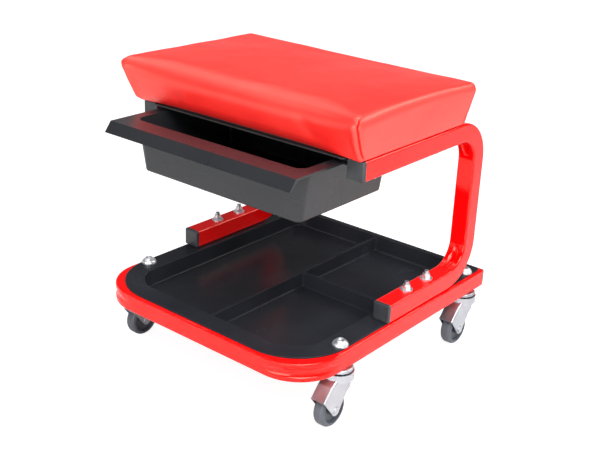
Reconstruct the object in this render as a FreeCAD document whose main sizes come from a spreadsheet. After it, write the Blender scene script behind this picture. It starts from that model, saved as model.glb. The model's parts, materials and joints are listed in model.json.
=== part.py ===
import FreeCAD, Part
import math
import os

import Sketcher

# Creeper seat: a padded seat on two bent square-tube frames, a sliding drawer below it,
# and a wheeled base with a moulded tool tray. Millimetres, +Z up, -Y is the drawer's side.
# The origin lies on the floor, midway between the drawer's lip and the rear of the base.

SIZES = {
    # steel tube
    "tube_side": 25.0,
    "tube_wall": 1.5,
    "tube_corner": 2.6,
    "base_bend": 50.0,
    "frame_bend": 45.0,
    "groove_radius": 9.0,
    "groove_depth": 2.4,
    # base
    "base_width": 365.0,
    "base_depth": 400.0,
    "weld_gap": 0.1,
    "cross_bar": 6.0,
    "cross_bar_round": 1.5,
    # upright frames
    "frame_height": 230.5,
    "frame_inset": 1.0,
    "leg_setback": 37.0,
    "arm_reach": 271.5,
    "foot_reach": 199.0,
    "frame_bolt_setback": 55.0,
    "frame_bolt_pitch": 46.0,
    # plastic plugs in the tube ends
    "plug_head": 4.0,
    "plug_round": 2.0,
    "plug_length": 12.0,
    "plug_clearance": 0.1,
    # tool tray
    "tray_sheet": 2.0,
    "tray_inset": 4.5,
    "tray_front_round": 78.0,
    "tray_rear_round": 8.0,
    "tray_rear_inset": 1.0,
    "tray_edge_round": 0.8,
    "recess_side": 34.5,
    "recess_front_land": 31.0,
    "recess_rear_land": 14.0,
    "recess_depth": 22.0,
    "recess_draft": 3.0,
    "recess_front_round": 45.0,
    "recess_rear_round": 20.0,
    "pocket_round": 6.0,
    "floor_round": 3.0,
    "divider": 3.5,
    "divider_drop": 3.0,
    "cross_divider_back": 14.8,
    "pip_radius": 2.0,
    "pip_height": 1.4,
    # seat
    "seat_side_overhang": 1.5,
    "seat_depth": 216.0,
    "seat_overhang": 8.6,
    "seat_height": 55.0,
    "seat_flare_side": 8.5,
    "seat_flare_front": 17.4,
    "seat_flare_rear": 7.2,
    "seat_crown": 4.0,
    "seat_edge_round": 8.0,
    "seat_corner_low": 5.0,
    "seat_corner_high": 10.0,
    "side_draw": 1.6,
    "foot_round": 3.0,
    "cover_sheet": 1.2,
    "pleat_width": 7.0,
    "pleat_rise": 1.2,
    "soft_gap": 0.3,
    "board_thickness": 12.0,
    "board_round": 6.0,
    "hem_width": 22.0,
    "panel_sheet": 1.5,
    "panel_inset": 3.0,
    "panel_screw_inset": 14.0,
    "panel_screw_side": 36.0,
    # seat bolts
    "seat_bolt_first": 34.0,
    "seat_bolt_pitch": 130.0,
    "seat_bolt_radius": 3.0,
    "tee_barrel_radius": 4.0,
    "tee_flange_radius": 9.0,
    "tee_flange": 1.2,
    # drawer
    "drawer_open": 82.0,
    "drawer_clearance": 2.5,
    "drawer_drop": 6.7,
    "drawer_length": 222.5,
    "drawer_depth": 68.3,
    "drawer_sheet": 2.5,
    "drawer_draft": 9.0,
    "drawer_round": 14.0,
    "rim_side": 15.0,
    "rim_front": 27.5,
    "rim_rear": 22.0,
    "rim_round": 6.0,
    "lip_run": 10.0,
    "lip_fall": 13.0,
    "lip_corner": 0.5,
    # drawer runners
    "runner_web": 2.5,
    "runner_lip": 1.8,
    "runner_reach": 12.0,
    "runner_play": 0.3,
    "runner_drop": 25.0,
    "runner_front_gap": 1.0,
    "runner_length": 206.5,
    "runner_stop": 3.5,
    "runner_screw_first": 14.0,
    "runner_screw_pitch": 85.0,
    "runner_screw_rise": 5.5,
    "screw_radius": 1.9,
    "screw_head_radius": 3.8,
    "screw_head": 1.8,
    "screw_length": 9.0,
    # bolts, nuts and washers
    "bolt_radius": 3.0,
    "bolt_clearance": 0.3,
    "bolt_head": 4.0,
    "bolt_flats": 10.0,
    "bolt_tail": 4.0,
    "nut_height": 4.5,
    "nut_collar": 2.0,
    "nut_collar_radius": 4.5,
    "washer_radius": 8.4,
    "washer_sheet": 1.6,
    "stem_radius": 4.0,
    "stem_sunk": 2.2,
    "stem_nut_radius": 9.8,
    "stem_nut_height": 6.2,
    "stem_washer_radius": 10.4,
    "stem_washer_sheet": 1.2,
    # casters
    "caster_height": 76.5,
    "caster_front_setback": 82.5,
    "caster_rear_setback": 32.5,
    "trail": 16.0,
    "wheel_radius": 23.0,
    "wheel_width": 16.0,
    "wheel_shoulder": 4.6,
    "wheel_rim": 5.4,
    "wheel_recess": 4.0,
    "hub_radius": 7.5,
    "hub_gap": 0.3,
    "axle_radius": 3.0,
    "axle_play": 0.06,
    "axle_head_radius": 4.6,
    "axle_head": 1.4,
    "fork_sheet": 1.5,
    "fork_gap": 1.5,
    "fork_boss": 6.8,
    "fork_back": 14.0,
    "fork_heel": 10.0,
    "fork_heel_height": 46.0,
    "fork_waist": 3.0,
    "fork_waist_height": 41.0,
    "fork_hood_reach": 26.0,
    "fork_hood_height": 58.0,
    "fork_nose_reach": 39.5,
    "fork_nose_height": 42.5,
    "fork_round": 2.2,
    "crown_radius": 19.0,
    "crown_height": 10.4,
    "crown_sink": 3.4,
    "race_radius": 17.6,
    "race_thickness": 5.3,
    "race_round": 2.4,
    "ball_radius": 1.8,
    "ball_circle": 12.0,
    "ball_gap": 0.3,
    "rivet_radius": 6.5,
    "rivet_thickness": 1.8,
}

# Places that follow from the sizes
PLACES = {
    "overall_depth": "max(Size.base_depth; Size.leg_setback + Size.arm_reach + Size.drawer_open + Size.lip_run)",
    "rear": "overall_depth / 2",
    "front": "rear - Size.base_depth",
    "tube_top": "Size.caster_height + Size.tube_side",
    "flange_top": "tube_top + Size.tray_sheet",
    "arm_top": "flange_top + Size.frame_height",
    "leg_rear": "rear - Size.leg_setback",
    "arm_front": "leg_rear - Size.arm_reach",
    "foot_front": "leg_rear - Size.foot_reach",
    "frame_outer": "Size.base_width / 2 - Size.frame_inset",
    "frame_middle": "frame_outer - Size.tube_side / 2",
    "frame_inner": "frame_outer - Size.tube_side",
    "base_outer": "Size.base_width / 2",
    "tube_end": "rear - Size.plug_head",
    "caster_front": "front + Size.caster_front_setback",
    "caster_rear": "rear - Size.caster_rear_setback",
    "frame_bolt_first": "foot_front + Size.frame_bolt_setback",
    "frame_bolt_second": "frame_bolt_first + Size.frame_bolt_pitch",
    "recess_outer": "base_outer - Size.recess_side",
    "recess_front": "front + Size.recess_front_land",
    "recess_rear": "rear - Size.recess_rear_land",
    "cross_divider": "(front + rear) / 2 + Size.cross_divider_back",
    "tray_floor": "flange_top - Size.recess_depth",
    "divider_top": "flange_top - Size.divider_drop",
    "seat_front": "arm_front - Size.seat_overhang",
    "seat_rear": "seat_front + Size.seat_depth",
    "seat_side": "frame_outer + Size.seat_side_overhang",
    "cover_low": "arm_top + Size.soft_gap",
    "board_low": "cover_low + Size.cover_sheet + Size.soft_gap",
    "board_top": "board_low + Size.board_thickness",
    "board_inset": "Size.foot_round + Size.side_draw + Size.cover_sheet + Size.soft_gap",
    "board_side": "seat_side - board_inset",
    "board_front": "seat_front + board_inset",
    "board_rear": "seat_rear - board_inset",
    "seat_bolt_front": "arm_front + Size.seat_bolt_first",
    "seat_bolt_rear": "seat_bolt_front + Size.seat_bolt_pitch",
    "rim_top": "arm_top - Size.drawer_drop",
    "rim_low": "rim_top - Size.drawer_sheet",
    "crease": "arm_front - Size.drawer_open",
    "drawer_rear": "crease + Size.drawer_length",
    "web_outer": "frame_inner - Size.weld_gap",
    "web_inner": "web_outer - Size.runner_web",
    "drawer_side": "web_inner - Size.drawer_clearance",
    "mouth_side": "drawer_side - Size.rim_side",
    "mouth_front": "crease + Size.rim_front",
    "mouth_rear": "drawer_rear - Size.rim_rear",
    "drawer_floor": "rim_top - Size.drawer_depth",
    "runner_front": "arm_front + Size.plug_head + Size.runner_front_gap",
    "shelf_top": "rim_low - Size.runner_play",
    "roof_low": "rim_top + Size.runner_play",
    "roof_top": "roof_low + Size.runner_lip",
    "web_low": "arm_top - Size.runner_drop",
    "runner_rear": "runner_front + Size.runner_length",
    "panel_top": "cover_low - Size.soft_gap",
    "panel_low": "panel_top - Size.panel_sheet",
    "panel_screw": "frame_inner - Size.panel_screw_side",
    "fork_side": "Size.wheel_width / 2 + Size.fork_gap + Size.fork_sheet",
    "fork_inside": "Size.wheel_width / 2 + Size.fork_gap",
    "race_low": "Size.caster_height - Size.race_thickness",
    "crown_plate_top": "race_low - 2 * Size.ball_radius - 2 * Size.ball_gap",
    "crown_plate_low": "crown_plate_top - Size.fork_sheet",
    "crown_top": "crown_plate_top + Size.crown_sink",
    "crown_low": "crown_top - Size.crown_height",
    "hood_length": "sqrt((Size.fork_nose_reach - Size.fork_hood_reach) ^ 2"
                   " + (Size.fork_hood_height - Size.fork_nose_height) ^ 2)",
    "hood_run": "(Size.fork_nose_reach - Size.fork_hood_reach) / hood_length",
    "hood_lean": "(Size.fork_hood_height - Size.fork_nose_height) / hood_length",
    "nose_rise": "Size.fork_nose_height - Size.wheel_radius",
    "nose_run": "Size.fork_nose_reach - Size.trail",
    "fork_front_angle": "atan(nose_rise / nose_run) + asin(Size.fork_boss / sqrt(nose_rise ^ 2 + nose_run ^ 2))",
    "waist_rise": "Size.fork_waist_height - Size.wheel_radius",
    "waist_run": "Size.fork_waist + Size.trail",
    "fork_back_angle": "atan(waist_rise / waist_run) + asin(Size.fork_boss / sqrt(waist_rise ^ 2 + waist_run ^ 2))",
}

doc = FreeCAD.newDocument("CreeperSeat")


def fill_sheet(name, cells):
    """A spreadsheet with one alias a row."""
    sheet = doc.addObject("Spreadsheet::Sheet", name)
    for row, (alias, content) in enumerate(cells.items(), 1):
        sheet.set("A%d" % row, alias)
        sheet.set("B%d" % row, content)
        sheet.setAlias("B%d" % row, alias)
    return sheet


size_sheet = fill_sheet("Size", {alias: str(number) for alias, number in SIZES.items()})
doc.recompute()
fill_sheet("At", {alias: "=" + formula for alias, formula in PLACES.items()})
doc.recompute()


def value(text):
    """The number that an expression on the two sheets gives."""
    return float(size_sheet.evalExpression(text))


def bind(item, expressions):
    for path, text in expressions.items():
        item.setExpression(path, text)
    return item


def place(item, x="0", y="0", z="0"):
    """Bind an object's position to the sheets."""
    return bind(item, {"Placement.Base.x": x, "Placement.Base.y": y, "Placement.Base.z": z})


def turn(item, axis, angle):
    item.Placement = FreeCAD.Placement(FreeCAD.Vector(), FreeCAD.Rotation(FreeCAD.Vector(*axis), angle))
    return item


# Sketches and bodies

def new_body(label):
    body = doc.addObject("PartDesign::Body", label)
    body.Label = label
    return body


def sketch(body, plane, offset="0"):
    item = body.newObject("Sketcher::SketchObject", body.Label + "_outline")
    support = [feature for feature in body.Origin.OriginFeatures if feature.Role == plane + "_Plane"][0]
    item.AttachmentSupport = (support, "")
    item.MapMode = "FlatFace"
    item.setExpression("AttachmentOffset.Base.z", offset)
    return item


def pin_point(item, geometry, point, x, y):
    """Hold a sketch point at x, y from the sketch's origin."""
    for kind, text in (("DistanceX", x), ("DistanceY", y)):
        index = item.addConstraint(Sketcher.Constraint(kind, -1, 1, geometry, point, value(text)))
        item.setExpression("Constraints[%d]" % index, text)


def polygon(item, points):
    """A closed outline of straight lines through points given as expressions."""
    first = item.GeometryCount
    corners = [FreeCAD.Vector(value(x), value(y), 0) for x, y in points]
    count = len(corners)
    for index in range(count):
        item.addGeometry(Part.LineSegment(corners[index], corners[(index + 1) % count]))
    for index in range(count):
        follower = first + (index + 1) % count
        item.addConstraint(Sketcher.Constraint("Coincident", first + index, 2, follower, 1))
    for index, (x, y) in enumerate(points):
        pin_point(item, first + index, 1, x, y)
    return item


def circle(item, x, y, radius):
    centre = FreeCAD.Vector(value(x), value(y), 0)
    index = item.addGeometry(Part.Circle(centre, FreeCAD.Vector(0, 0, 1), value(radius)))
    pin_point(item, index, 3, x, y)
    held = item.addConstraint(Sketcher.Constraint("Radius", index, value(radius)))
    item.setExpression("Constraints[%d]" % held, radius)
    return item


def rounded_rectangle(item, left, right, low, high, radii):
    """A rectangle whose four corners, from low left anticlockwise, have their own radii."""
    x0, x1, y0, y1 = value(left), value(right), value(low), value(high)
    rounds = [value(radius) for radius in radii]
    first = item.GeometryCount
    up = FreeCAD.Vector(0, 0, 1)

    def point(x, y):
        return FreeCAD.Vector(x, y, 0)

    item.addGeometry(Part.LineSegment(point(x0 + rounds[0], y0), point(x1 - rounds[1], y0)))
    item.addGeometry(Part.LineSegment(point(x1, y0 + rounds[1]), point(x1, y1 - rounds[2])))
    item.addGeometry(Part.LineSegment(point(x1 - rounds[2], y1), point(x0 + rounds[3], y1)))
    item.addGeometry(Part.LineSegment(point(x0, y1 - rounds[3]), point(x0, y0 + rounds[0])))
    centres = [
        point(x0 + rounds[0], y0 + rounds[0]),
        point(x1 - rounds[1], y0 + rounds[1]),
        point(x1 - rounds[2], y1 - rounds[2]),
        point(x0 + rounds[3], y1 - rounds[3]),
    ]
    for index, centre in enumerate(centres):
        start = math.pi * (1 + index / 2)
        arc = Part.ArcOfCircle(Part.Circle(centre, up, rounds[index]), start, start + math.pi / 2)
        item.addGeometry(arc)
    for index in range(4):
        corner = first + 4 + index
        before = first + (index + 3) % 4
        item.addConstraint(Sketcher.Constraint("Tangent", before, 2, corner, 1))
        item.addConstraint(Sketcher.Constraint("Tangent", corner, 2, first + index, 1))
        held = item.addConstraint(Sketcher.Constraint("Radius", corner, rounds[index]))
        item.setExpression("Constraints[%d]" % held, radii[index])
    for index, kind in enumerate(("Horizontal", "Vertical", "Horizontal", "Vertical")):
        item.addConstraint(Sketcher.Constraint(kind, first + index))
    for index, kind, text in ((0, "DistanceY", low), (1, "DistanceX", right), (2, "DistanceY", high),
                              (3, "DistanceX", left)):
        held = item.addConstraint(Sketcher.Constraint(kind, -1, 1, first + index, 1, value(text)))
        item.setExpression("Constraints[%d]" % held, text)
    return item


def feature(body, kind, profile, length, both_ways=False, backwards=False, taper="0"):
    """A Pad or Pocket of a sketch."""
    item = body.newObject("PartDesign::" + kind, body.Label + "_" + kind.lower())
    item.Profile = profile
    item.SideType = "Symmetric" if both_ways else "One side"
    item.Reversed = backwards
    bind(item, {"Length": length, "TaperAngle": taper})
    profile.Visibility = False
    return item


def spin(body, profile, axis):
    """A full revolution of a sketch about one of its own axes, H_Axis or V_Axis."""
    item = body.newObject("PartDesign::Revolution", body.Label + "_revolution")
    item.Profile = profile
    item.ReferenceAxis = (profile, [axis])
    return item


def round_edges(body, radius, wanted):
    """Fillet the edges of the body's tip that the test wanted(edge) picks."""
    doc.recompute()
    tip = body.Tip
    names = ["Edge%d" % (index + 1) for index, edge in enumerate(tip.Shape.Edges) if wanted(edge)]
    item = body.newObject("PartDesign::Fillet", body.Label + "_fillet")
    item.Base = (tip, names)
    item.setExpression("Radius", radius)
    return item


NEAR = 0.01


def edge_points(edge):
    """Both ends and the middle of an edge."""
    first, last = edge.ParameterRange
    return [edge.valueAt(first), edge.valueAt((first + last) / 2), edge.valueAt(last)]


def at_height(edge, height):
    return all(abs(point.z - height) < NEAR for point in edge_points(edge))


def edge_rises(edge):
    heights = [point.z for point in edge_points(edge)]
    return max(heights) - min(heights) > NEAR


# Primitives and booleans

def primitive(kind, label, expressions):
    item = doc.addObject("Part::" + kind, label)
    return bind(item, expressions)


def cylinder(label, radius, height, x="0", y="0", z="0"):
    return place(primitive("Cylinder", label, {"Radius": radius, "Height": height}), x, y, z)


def prism(label, flats, height, x="0", y="0", z="0"):
    """A hexagonal bar, by its width across the flats."""
    item = primitive("Prism", label, {"Circumradius": flats + " / 2 / cos(30)", "Height": height})
    item.Polygon = 6
    return place(item, x, y, z)


def fuse(label, parts):
    item = doc.addObject("Part::MultiFuse", label)
    item.Shapes = parts
    return item


def cut(label, base, tools):
    item = doc.addObject("Part::Cut", label)
    item.Base = base
    item.Tool = tools[0] if len(tools) == 1 else fuse(label + "_tools", tools)
    return item


def group(label, parts):
    """Separate identical solids under one name."""
    item = doc.addObject("Part::Compound", label)
    item.Links = parts
    item.Label = label
    return item


SIDES = {"left": "-", "right": ""}
ENDS = {"front": "At.caster_front", "rear": "At.caster_rear"}


# Bent square tube

def square_ring(label, side, corner, end):
    """A rounded square standing on the end of a tube's path."""
    item = doc.addObject("Sketcher::SketchObject", label)
    half = "(%s) / 2" % side
    rounded_rectangle(item, "-" + half, half, "-" + half, half, [corner] * 4)
    turn(item, (0, 1, 0), 90)
    return place(item, *end)


def bent_path(label, upper_end, lower_end, low, high, bend):
    """Line, arc, line, arc, line: two legs along -X joined by a web on the Y axis."""
    item = doc.addObject("Sketcher::SketchObject", label)
    radius, top, bottom = value(bend), value(high), value(low)
    up = FreeCAD.Vector(0, 0, 1)

    def point(x, y):
        return FreeCAD.Vector(x, y, 0)

    item.addGeometry(Part.LineSegment(point(value(lower_end), bottom), point(-radius, bottom)))
    lower = Part.Circle(point(-radius, bottom + radius), up, radius)
    item.addGeometry(Part.ArcOfCircle(lower, -math.pi / 2, 0))
    item.addGeometry(Part.LineSegment(point(0, bottom + radius), point(0, top - radius)))
    upper = Part.Circle(point(-radius, top - radius), up, radius)
    item.addGeometry(Part.ArcOfCircle(upper, 0, math.pi / 2))
    item.addGeometry(Part.LineSegment(point(-radius, top), point(value(upper_end), top)))
    for index in range(4):
        item.addConstraint(Sketcher.Constraint("Tangent", index, 2, index + 1, 1))
    item.addConstraint(Sketcher.Constraint("Horizontal", 0))
    item.addConstraint(Sketcher.Constraint("Vertical", 2))
    item.addConstraint(Sketcher.Constraint("Horizontal", 4))
    item.addConstraint(Sketcher.Constraint("PointOnObject", 2, 1, -2))
    pin_point(item, 0, 1, lower_end, low)
    pin_point(item, 4, 2, upper_end, high)
    for index in (1, 3):
        held = item.addConstraint(Sketcher.Constraint("Radius", index, radius))
        item.setExpression("Constraints[%d]" % held, bend)
    return item


def groove_cutters(label, bend, low, high, outside, extra):
    """Two arcs of a torus that press a groove into the bends, deepest at mid bend.

    The torus is struck from a point further along the bend's diagonal than the bend itself,
    so that the groove runs out at both ends of the bend.
    """
    shift = "Size.groove_depth / (1 - cos(45))"
    if outside:
        major = "(%s + Size.tube_side / 2 + Size.groove_radius - Size.groove_depth + %s)" % (bend, shift)
        step = "-(%s) * cos(45)" % shift
    else:
        major = "(%s - Size.tube_side / 2 - Size.groove_radius + Size.groove_depth - %s)" % (bend, shift)
        step = "(%s) * cos(45)" % shift
    cutters = []
    for name, angle, y in (("low", -90, "%s + (%s) - (%s)" % (low, bend, step)),
                           ("high", 0, "%s - (%s) + (%s)" % (high, bend, step))):
        item = primitive("Torus", "%s_%s" % (label, name), {
            "Radius1": major,
            "Radius2": "Size.groove_radius + " + extra,
        })
        item.Angle3 = 90
        turn(item, (0, 0, 1), angle)
        cutters.append(place(item, "-(%s) + (%s)" % (bend, step), y))
    return cutters


def bent_tube(label, upper_end, lower_end, low, high, bend, outside):
    """A hollow square tube bent twice, with the groove that bending leaves."""
    path = bent_path(label + "_path", upper_end, lower_end, low, high, bend)
    layers = []
    for layer, side, corner, extra in (
            ("skin", "Size.tube_side", "Size.tube_corner", "0"),
            ("hollow", "Size.tube_side - 2 * Size.tube_wall", "Size.tube_corner - Size.tube_wall",
             "Size.tube_wall")):
        ring = square_ring("%s_%s_ring" % (label, layer), side, corner, (lower_end, low))
        doc.recompute()
        sweep = doc.addObject("Part::Sweep", "%s_%s" % (label, layer))
        sweep.Sections = [ring]
        sweep.Spine = (path, ["Edge%d" % (index + 1) for index in range(5)])
        sweep.Solid = True
        cutters = groove_cutters("%s_%s_groove" % (label, layer), bend, low, high, outside, extra)
        layers.append(cut("%s_%s_grooved" % (label, layer), sweep, cutters))
    return cut(label + "_bent", layers[0], [layers[1]])


def upright_holes(label, spots, radius, low, height):
    return [cylinder("%s_%d" % (label, index), radius, height, x, y, low)
            for index, (x, y) in enumerate(spots)]


FRAME_BOLTS = [(sign + "At.frame_middle", "At.frame_bolt_" + row)
               for sign in SIDES.values() for row in ("first", "second")]
CASTER_SPOTS = [(sign + "At.frame_middle", y) for sign in SIDES.values() for y in ENDS.values()]
RUNNER_SCREWS = ["At.runner_front + Size.runner_screw_first + %d * Size.runner_screw_pitch" % step
                 for step in range(3)]
RUNNER_SCREW_HEIGHT = "At.web_low + Size.runner_screw_rise"
SEAT_BOLTS = [(sign + "At.frame_middle", "At.seat_bolt_" + row)
              for sign in SIDES.values() for row in ("front", "rear")]


def build_base():
    half = "(Size.base_width - Size.tube_side) / 2"
    end = "-(Size.base_depth - Size.plug_head - Size.tube_side / 2)"
    tube = bent_tube("base", end, end, "-" + half, half, "Size.base_bend", True)
    turn(tube, (0, 0, 1), -90)
    place(tube, "0", "At.front + Size.tube_side / 2", "Size.caster_height + Size.tube_side / 2")
    holes = upright_holes("base_bolt_hole", FRAME_BOLTS, "Size.bolt_radius + Size.bolt_clearance",
                          "Size.caster_height - Size.tube_side", "3 * Size.tube_side")
    holes += upright_holes("base_stem_hole", CASTER_SPOTS, "Size.stem_radius + Size.bolt_clearance",
                           "Size.caster_height - Size.tube_side", "3 * Size.tube_side")
    base = cut("base_tube", tube, holes)

    rear = new_body("rear_cross_bar")
    outline = rounded_rectangle(
        sketch(rear, "YZ"), "At.tube_end - Size.cross_bar", "At.tube_end", "Size.caster_height", "At.tube_top",
        ["Size.cross_bar_round"] * 4)
    feature(rear, "Pad", outline, "2 * (At.base_outer - Size.tube_side - Size.weld_gap)", both_ways=True)
    return [base, rear]


def build_uprights():
    upper_end = "-(Size.arm_reach - Size.plug_head - Size.tube_side / 2)"
    lower_end = "-(Size.foot_reach - Size.plug_head - Size.tube_side / 2)"
    frames = []
    for side, sign in SIDES.items():
        tube = bent_tube(side + "_frame", upper_end, lower_end, "Size.tube_side / 2",
                         "Size.frame_height - Size.tube_side / 2", "Size.frame_bend", False)
        turn(tube, (1, 1, 1), 120)
        place(tube, sign + "At.frame_middle", "At.leg_rear - Size.tube_side / 2", "At.flange_top")
        bolts = [spot for spot in FRAME_BOLTS if spot[0].startswith("-") == (side == "left")]
        holes = upright_holes(side + "_foot_hole", bolts, "Size.bolt_radius + Size.bolt_clearance",
                              "At.flange_top - Size.tube_side", "3 * Size.tube_side")
        bolts = [spot for spot in SEAT_BOLTS if spot[0].startswith("-") == (side == "left")]
        holes += upright_holes(side + "_arm_hole", bolts, "Size.seat_bolt_radius + Size.bolt_clearance",
                               "At.arm_top - 2 * Size.tube_side", "3 * Size.tube_side")
        for index, y in enumerate(RUNNER_SCREWS):
            hole = primitive("Cylinder", "%s_runner_hole_%d" % (side, index), {
                "Radius": "Size.screw_radius + Size.weld_gap",
                "Height": "Size.tube_side / 2",
            })
            turn(hole, (0, 1, 0), -90 if side == "left" else 90)
            holes.append(place(hole, sign + "At.web_inner", y, RUNNER_SCREW_HEIGHT))
        frames.append(cut(side + "_c_frame", tube, holes))
    return frames


def build_plug(label, x, y, z, backwards):
    """A square plastic plug: a rounded head on the tube's end and a shank inside it."""
    plug = new_body(label)
    half = "Size.tube_side / 2"
    head = rounded_rectangle(sketch(plug, "XZ"), "-" + half, half, "-" + half, half, ["Size.tube_corner"] * 4)
    feature(plug, "Pad", head, "Size.plug_head")
    doc.recompute()
    face = min(vertex.Point.y for vertex in plug.Shape.Vertexes)
    round_edges(plug, "Size.plug_round",
                lambda edge: all(abs(point.y - face) < NEAR for point in edge_points(edge)))
    inner = "(Size.tube_side / 2 - Size.tube_wall - Size.plug_clearance)"
    corner = "Size.tube_corner - Size.tube_wall"
    shank = rounded_rectangle(sketch(plug, "XZ"), "-" + inner, inner, "-" + inner, inner, [corner] * 4)
    feature(plug, "Pad", shank, "Size.plug_length", backwards=True)
    if backwards:
        turn(plug, (0, 0, 1), 180)
    return place(plug, x, y, z)


def build_plugs():
    groups = []
    for label, y, z, across, backwards in (
            ("upper_arm_plugs", "At.arm_front + Size.plug_head", "At.arm_top - Size.tube_side / 2",
             "At.frame_middle", False),
            ("lower_arm_plugs", "At.foot_front + Size.plug_head", "At.flange_top + Size.tube_side / 2",
             "At.frame_middle", False),
            ("base_plugs", "At.tube_end", "Size.caster_height + Size.tube_side / 2",
             "(Size.base_width - Size.tube_side) / 2", True)):
        plugs = [build_plug("%s_%s" % (label, side), sign + across, y, z, backwards)
                 for side, sign in SIDES.items()]
        groups.append(group(label, plugs))
    return groups


# Tool tray

PIP_SHARES = {
    # across the recess's half width, and along its depth from the front
    "left_front": (-0.93, 0.31),
    "left_rear": (-0.93, 0.51),
    "right_front": (0.09, 0.24),
}


def build_tray():
    tray = new_body("tool_tray")
    edge = "At.base_outer - Size.tray_inset"
    flange = rounded_rectangle(
        sketch(tray, "XY", "At.tube_top"), "-(%s)" % edge, edge, "At.front + Size.tray_inset",
        "At.tube_end - Size.tray_rear_inset",
        ["Size.tray_front_round", "Size.tray_front_round", "Size.tray_rear_round", "Size.tray_rear_round"])
    feature(tray, "Pad", flange, "Size.tray_sheet")
    outside = "At.recess_outer + Size.tray_sheet"
    front, rear = "Size.recess_front_round", "Size.recess_rear_round"
    taper = "-atan(Size.recess_draft / Size.recess_depth)"
    tub = rounded_rectangle(
        sketch(tray, "XY", "At.flange_top"), "-(%s)" % outside, outside, "At.recess_front - Size.tray_sheet",
        "At.recess_rear + Size.tray_sheet", [text + " + Size.tray_sheet" for text in (front, front, rear, rear)])
    feature(tray, "Pad", tub, "Size.recess_depth + Size.tray_sheet", backwards=True, taper=taper)
    mouth = rounded_rectangle(
        sketch(tray, "XY", "At.flange_top"), "-At.recess_outer", "At.recess_outer", "At.recess_front",
        "At.recess_rear", [front, front, rear, rear])
    feature(tray, "Pocket", mouth, "Size.divider_drop", taper=taper)
    web = "Size.divider / 2"
    small = "Size.pocket_round"
    for left, right, low, high, radii in (
            ("-At.recess_outer", "-" + web, "At.recess_front", "At.recess_rear", [front, small, small, rear]),
            (web, "At.recess_outer", "At.recess_front", "At.cross_divider - " + web,
             [small, front, small, small]),
            (web, "At.recess_outer", "At.cross_divider + " + web, "At.recess_rear",
             [small, small, rear, small])):
        pocket = rounded_rectangle(sketch(tray, "XY", "At.flange_top"), left, right, low, high, radii)
        feature(tray, "Pocket", pocket, "Size.recess_depth", taper=taper)
    doc.recompute()
    floor, top, web_top = value("At.tray_floor"), value("At.flange_top"), value("At.divider_top")
    round_edges(tray, "Size.floor_round", lambda edge: at_height(edge, floor))
    round_edges(tray, "Size.tray_edge_round", lambda edge: at_height(edge, top) or at_height(edge, web_top))
    for across, along in PIP_SHARES.values():
        pip = circle(sketch(tray, "XY", "At.tray_floor"), "%s * At.recess_outer" % across,
                     "At.recess_front + %s * (At.recess_rear - At.recess_front)" % along, "Size.pip_radius")
        feature(tray, "Pad", pip, "Size.pip_height", taper="-45 / 2")
    holes = sketch(tray, "XY", "At.flange_top")
    for x, y in FRAME_BOLTS:
        circle(holes, x, y, "Size.bolt_radius + Size.bolt_clearance")
    for x, y in CASTER_SPOTS:
        circle(holes, x, y, "Size.stem_radius + Size.bolt_clearance")
    feature(tray, "Pocket", holes, "2 * Size.tray_sheet")
    return tray


# Fasteners

def spotted(label, spots, build):
    """The same piece at several places, as one node."""
    return group(label, [build("%s_%d" % (label, index), *spot) for index, spot in enumerate(spots, 1)])


def hexagon(label, flats, height, x, y, z, crowned_up=True):
    """A hexagonal head whose corners are turned off on its outer side."""
    bar = prism(label + "_bar", flats, height, x, y, z)
    wide, narrow = "(%s) / 2 + (%s) / tan(30)" % (flats, height), "(%s) / 2" % flats
    low, high = (wide, narrow) if crowned_up else (narrow, wide)
    cone = primitive("Cone", label + "_cone", {"Radius1": low, "Radius2": high, "Height": height})
    place(cone, x, y, z)
    common = doc.addObject("Part::MultiCommon", label + "_hexagon")
    common.Shapes = [bar, cone]
    return common


def collar_nut(label, x, y, z):
    """A hexagonal nut with the round collar of a locking ring on top."""
    body = hexagon(label, "Size.bolt_flats", "Size.nut_height", x, y, z)
    height = "Size.nut_height + Size.nut_collar"
    collar = cylinder(label + "_collar", "Size.nut_collar_radius", height, x, y, z)
    bore = cylinder(label + "_bore", "Size.bolt_radius + Size.axle_play", height, x, y, z)
    return cut(label, fuse(label + "_whole", [body, collar]), [bore])


def hex_bolt(label, radius, flats, head, length, x, y, z):
    """A bolt pointing up, with the bearing face of its head at height z."""
    top = hexagon(label + "_head", flats, head, x, y, "%s - (%s)" % (z, head), crowned_up=False)
    shank = cylinder(label + "_shank", radius, length, x, y, z)
    return fuse(label, [top, shank])


def flat_washer(label, outer, inner, sheet, x, y, z):
    disc = cylinder(label + "_disc", outer, sheet, x, y, z)
    return cut(label, disc, [cylinder(label + "_bore", inner, sheet, x, y, z)])


def pan_screw(label, axis, angle, x, y, z):
    """A round-headed screw whose head rests on the face at x, y, z and whose shank goes in."""
    head = primitive("Cylinder", label + "_head", {"Radius": "Size.screw_head_radius", "Height": "Size.screw_head"})
    shank = primitive("Cylinder", label + "_shank", {"Radius": "Size.screw_radius", "Height": "Size.screw_length"})
    shank.setExpression("Placement.Base.z", "-Size.screw_length")
    screw = fuse(label, [head, shank])
    turn(screw, axis, angle)
    return place(screw, x, y, z)


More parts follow.
